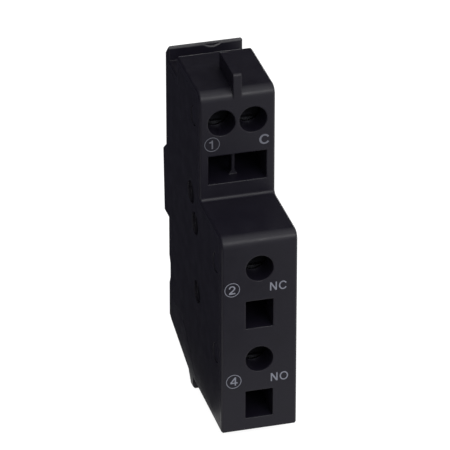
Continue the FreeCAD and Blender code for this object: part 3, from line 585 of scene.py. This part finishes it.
def grown_mesh(points, tree, values, name):
    """Mesh that a node tree makes from a few points, as a plain mesh of its own."""
    seed = bpy.data.meshes.new(name + "_points")
    seed.from_pydata(points, [], [])
    holder = bpy.data.objects.new(name + "_points", seed)
    modifier = holder.modifiers.new(name, "NODES")
    modifier.node_group = tree
    for item in tree.interface.items_tree:
        if item.in_out == "INPUT" and item.name in values:
            modifier[item.identifier] = values[item.name]
    mesh = finished_mesh(holder)
    mesh.name = name
    bpy.data.meshes.remove(seed)
    merge_points(mesh)
    return mesh


def merge_points(mesh):
    """Joins the doubled points of a mesh and turns its faces outwards."""
    shape = bmesh.new()
    shape.from_mesh(mesh)
    bmesh.ops.remove_doubles(shape, verts=shape.verts, dist=SAME_POINT)
    bmesh.ops.recalc_face_normals(shape, faces=shape.faces)
    shape.to_mesh(mesh)
    shape.free()


def add_piece(name, mesh):
    """Object for a finished mesh that rides on the block's body."""
    piece = bpy.data.objects.new(name, mesh)
    bpy.context.scene.collection.objects.link(piece)
    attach(piece, BODY)
    return piece


def arc(centre, radii, start, end, steps):
    """Points along part of an ellipse, with the angles in degrees."""
    points = []
    for step in range(steps + 1):
        angle = math.radians(start + (end - start) * step / steps)
        points.append((centre[0] + radii[0] * math.cos(angle),
                       centre[1] + radii[1] * math.sin(angle)))
    return points


# Letters and numbers of an even line, one function each. Each gives its width and its loops,
# all as shares of the height, with the line's width as stroke.


def letter_c(stroke):
    outer = arc((0.46, 0.5), (0.46, 0.52), 33, 327, 36)
    inner = arc((0.46, 0.5), (0.46 - stroke, 0.52 - stroke * 0.9), 331, 29, 36)
    return 0.87, [outer + inner]


def letter_o(stroke):
    outer = arc((0.48, 0.5), (0.48, 0.52), 0, 360, 48)[:-1]
    inner = arc((0.48, 0.5), (0.48 - stroke, 0.52 - stroke * 0.9), 360, 0, 48)[:-1]
    return 0.96, [outer, inner]


def letter_n(stroke):
    wide = 0.77
    return wide, [[
        (0, 0), (stroke, 0), (stroke, 0.72), (wide - stroke * 1.1, 0), (wide, 0),
        (wide, 1), (wide - stroke, 1), (wide - stroke, 0.28), (stroke * 1.1, 1), (0, 1),
    ]]


def number_1(stroke):
    right = 0.26 + stroke
    return 0.5, [[
        (0.26, 0), (right, 0), (right, 1), (0.3, 1), (0.22, 0.88), (0, 0.82), (0, 0.7),
        (0.26, 0.7),
    ]]


def number_2(stroke):
    outer = arc((0.35, 0.68), (0.35, 0.32), 185, -34, 28)
    inner = arc((0.35, 0.68), (0.35 - stroke, 0.32 - stroke * 0.9), -34, 185, 28)
    return 0.7, [outer + [(0.27, 0.16), (0.7, 0.16), (0.7, 0), (0, 0), (0.03, 0.16)] + inner]


def number_4(stroke):
    stem = 0.62 - stroke
    return 0.78, [
        [(stem, 0), (0.62, 0), (0.62, 0.24), (0.78, 0.24), (0.78, 0.38), (0.62, 0.38),
         (0.62, 1), (stem, 1), (0, 0.4), (0, 0.24), (stem, 0.24)],
        [(stem, 0.38), (0.17, 0.38), (stem, 0.74)],
    ]


GLYPHS = {
    "C": letter_c, "O": letter_o, "N": letter_n, "1": number_1, "2": number_2, "4": number_4,
}


def on_face(place, depth=0.0):
    """Middle of a mark, so deep in its front face."""
    front, x, z = place
    return Vector((x * MM, front + depth, z * MM))


def printed_word(word, height, stroke, widen, place, marks, material):
    """Flat letters of even stroke, standing a film of ink proud of the face."""
    outline = bpy.data.curves.new("mark_" + word, "CURVE")
    outline.dimensions = "2D"
    outline.fill_mode = "BOTH"
    outline.extrude = (marks.ink + marks.sink) / 2
    outline.materials.append(material)
    glyphs = [GLYPHS[letter](stroke) for letter in word]
    left = -(sum(width for width, loops in glyphs) + LETTER_GAP * (len(word) - 1)) / 2
    for width, loops in glyphs:
        for loop in loops:
            spline = outline.splines.new("POLY")
            spline.points.add(len(loop) - 1)
            for point, (across, up) in zip(spline.points, loop):
                point.co = ((left + across) * height * widen, (up - 0.5) * height, 0, 1)
            spline.use_cyclic_u = True
        left += width + LETTER_GAP
    mesh = finished_mesh(bpy.data.objects.new("outline", outline))
    merge_points(mesh)
    middle = on_face(place, (marks.sink - marks.ink) / 2)
    mesh.transform(Matrix.Translation(middle) @ Matrix.Rotation(math.radians(90), 4, "X"))
    return mesh


class PrintMarks(bpy.types.Operator):
    """Prints the ringed numbers and the letters beside the wire entries"""
    bl_idname = "block.print_marks"
    bl_label = "Print the marks"

    def execute(self, context):
        scene = context.scene
        marks = scene.block_marks
        # The upper ring is the one that is rubbed thin.
        ink = pad_printed_ink(
            "pad-printed light grey ink", scene.block_finish.ink[:], on_face(RINGS[0]))
        sizes = {
            "Diameter": marks.ring, "Line": marks.ring_stroke,
            "Thickness": marks.ink + marks.sink, "Material": ink,
        }
        points = [on_face(place, (marks.sink - marks.ink) / 2) for place in RINGS]
        add_piece("mark_rings", grown_mesh(points, ring_tree(), sizes, "mark_rings"))
        for digit, place in NUMBERS:
            mesh = printed_word(digit, marks.digit, STROKE, 1.0, place, marks, ink)
            add_piece("mark_number_" + digit, mesh)
        for word, height, stroke, widen, place in LETTERS:
            mesh = printed_word(word, getattr(marks, height), stroke, widen, place, marks, ink)
            add_piece("mark_letters_" + word, mesh)
        return {"FINISHED"}


def white_share(tree):
    """How much of the plain white studio a ray sees: all of it from the camera and through
    glass, and a share of it by reflection."""
    path = add(tree, "ShaderNodeLightPath").outputs
    seen = add(
        tree, "ShaderNodeMath", {0: path["Is Camera Ray"], 1: path["Is Transmission Ray"]},
        operation="MAXIMUM",
    )
    glossy = add(
        tree, "ShaderNodeMath", {0: path["Is Glossy Ray"], 1: GLOSSY_SHARE},
        operation="MULTIPLY",
    )
    return add(
        tree, "ShaderNodeMath", {0: seen.outputs[0], 1: glossy.outputs[0]}, operation="MAXIMUM",
    ).outputs[0]


def matt_sweep(name, colour):
    """Matt floor that the camera, metal and glass see as white with the block's soft shadow,
    while it throws back only plain pale light."""
    material = empty_material(name, colour)
    tree = material.node_tree
    plain = add(tree, "ShaderNodeBsdfDiffuse", {"Color": opaque(colour)})
    dim = add(tree, "ShaderNodeBsdfDiffuse", {"Color": opaque((1, 1, 1), SWEEP_SHADOW)})
    glow = add(
        tree, "ShaderNodeEmission", {"Color": opaque((1, 1, 1)), "Strength": SWEEP_GLOW})
    white = add(tree, "ShaderNodeAddShader", {0: dim.outputs[0], 1: glow.outputs[0]})
    choice = add(
        tree, "ShaderNodeMixShader",
        {0: white_share(tree), 1: plain.outputs[0], 2: white.outputs[0]},
    )
    finish_surface(tree, choice)
    return material


def matt_card(name, colour):
    """Matt painted card, which shows no lamp and only its own dark tone."""
    material = empty_material(name, colour)
    tree = material.node_tree
    finish_surface(tree, add(tree, "ShaderNodeBsdfDiffuse", {"Color": opaque(colour)}))
    return material


def flat_card(name, corners, material):
    """Flat face of the studio, which isn't part of the block."""
    mesh = bpy.data.meshes.new(name)
    mesh.from_pydata(corners, [], [tuple(range(len(corners)))])
    mesh.materials.append(material)
    card = bpy.data.objects.new(name, mesh)
    bpy.context.scene.collection.objects.link(card)
    return card


def place_camera(scene, stage):
    """Camera round the block's left front corner, looking down at it."""
    turn, rise = stage.turn, stage.rise
    ahead = Vector((
        math.sin(turn) * math.cos(rise), math.cos(turn) * math.cos(rise), -math.sin(rise)))
    lens = bpy.data.cameras.new("camera")
    lens.sensor_width = SENSOR_WIDTH
    lens.lens = stage.lens
    lens.clip_start = CLIP_START
    camera = bpy.data.objects.new("camera", lens)
    camera.location = LOOK_AT - ahead * stage.distance
    camera.rotation_euler = ahead.to_track_quat("-Z", "Y").to_euler()
    scene.collection.objects.link(camera)
    scene.camera = camera


def lay_floor(colour):
    """Wide level floor under the block."""
    far = SWEEP_REACH
    corners = [(-far, -far, 0), (far, -far, 0), (far, far, 0), (-far, far, 0)]
    flat_card("floor", corners, matt_sweep("matt white sweep", colour))


def stand_cards():
    """Cards round the block that only its reflections see."""
    paints = {
        tone: matt_card("matt " + tone + " card", colour) for tone, colour in CARD_PAINTS.items()
    }
    for name, (tone, corners) in CARDS.items():
        card = flat_card(name, corners, paints[tone])
        card.visible_camera = False
        card.visible_diffuse = False
        card.visible_shadow = False


def hang_lamps(scene):
    """Soft area lamps, all turned to the middle of the block."""
    for name, (towards, distance, size, power) in LAMPS.items():
        lamp = bpy.data.lights.new(name, "AREA")
        lamp.shape = "RECTANGLE"
        lamp.size, lamp.size_y = size
        lamp.energy = power
        holder = bpy.data.objects.new(name, lamp)
        direction = Vector(towards).normalized()
        holder.location = LAMPS_AIM + direction * distance
        holder.rotation_euler = direction.to_track_quat("Z", "Y").to_euler()
        holder.visible_camera = False
        scene.collection.objects.link(holder)


def fill_room(scene):
    """World that is white to the camera and lights the block at a plain level."""
    world = bpy.data.worlds.new("white room")
    world.use_nodes = True
    tree = world.node_tree
    tree.nodes.clear()
    strength = add(
        tree, "ShaderNodeMapRange",
        {"Value": white_share(tree), "To Min": AIR_LIGHT, "To Max": 1.0},
    )
    air = add(
        tree, "ShaderNodeBackground",
        {"Color": opaque((1, 1, 1)), "Strength": strength.outputs["Result"]},
    )
    add(tree, "ShaderNodeOutputWorld", {"Surface": air.outputs[0]})
    scene.world = world


class SetStage(bpy.types.Operator):
    """Sets the camera, the pale floor, the dark cards, the lamps and the room's light"""
    bl_idname = "block.set_stage"
    bl_label = "Set the stage"

    def execute(self, context):
        scene = context.scene
        stage = scene.block_stage
        place_camera(scene, stage)
        lay_floor(stage.floor[:])
        stand_cards()
        hang_lamps(scene)
        fill_room(scene)
        scene.view_settings.view_transform = "Standard"
        return {"FINISHED"}


GROUPS = {"block_finish": BlockFinish, "block_marks": BlockMarks, "block_stage": BlockStage}
OPERATORS = (DressMouldings, DressSwitch, DressMetals, PrintMarks, SetStage)


class BlockPanel(bpy.types.Panel):
    """Lists the steps that build the contact block's looks"""
    bl_idname = "VIEW3D_PT_contact_block"
    bl_label = "Contact block"
    bl_space_type = "VIEW_3D"
    bl_region_type = "UI"
    bl_category = "Contact block"

    def draw(self, context):
        for name, group in GROUPS.items():
            box = self.layout.box()
            for value in group.__annotations__:
                box.prop(getattr(context.scene, name), value)
        for operator in OPERATORS:
            self.layout.operator(operator.bl_idname)


def register():
    for name, group in GROUPS.items():
        bpy.utils.register_class(group)
        setattr(bpy.types.Scene, name, PointerProperty(type=group))
    for kind in OPERATORS + (BlockPanel,):
        bpy.utils.register_class(kind)


def unregister():
    for kind in reversed(OPERATORS + (BlockPanel,)):
        bpy.utils.unregister_class(kind)
    for name, group in GROUPS.items():
        delattr(bpy.types.Scene, name)
        bpy.utils.unregister_class(group)


def main():
    register()
    bpy.ops.block.dress_mouldings()
    bpy.ops.block.dress_switch()
    bpy.ops.block.dress_metals()
    bpy.ops.block.print_marks()
    bpy.ops.block.set_stage()


if __name__ == "__main__":
    main()
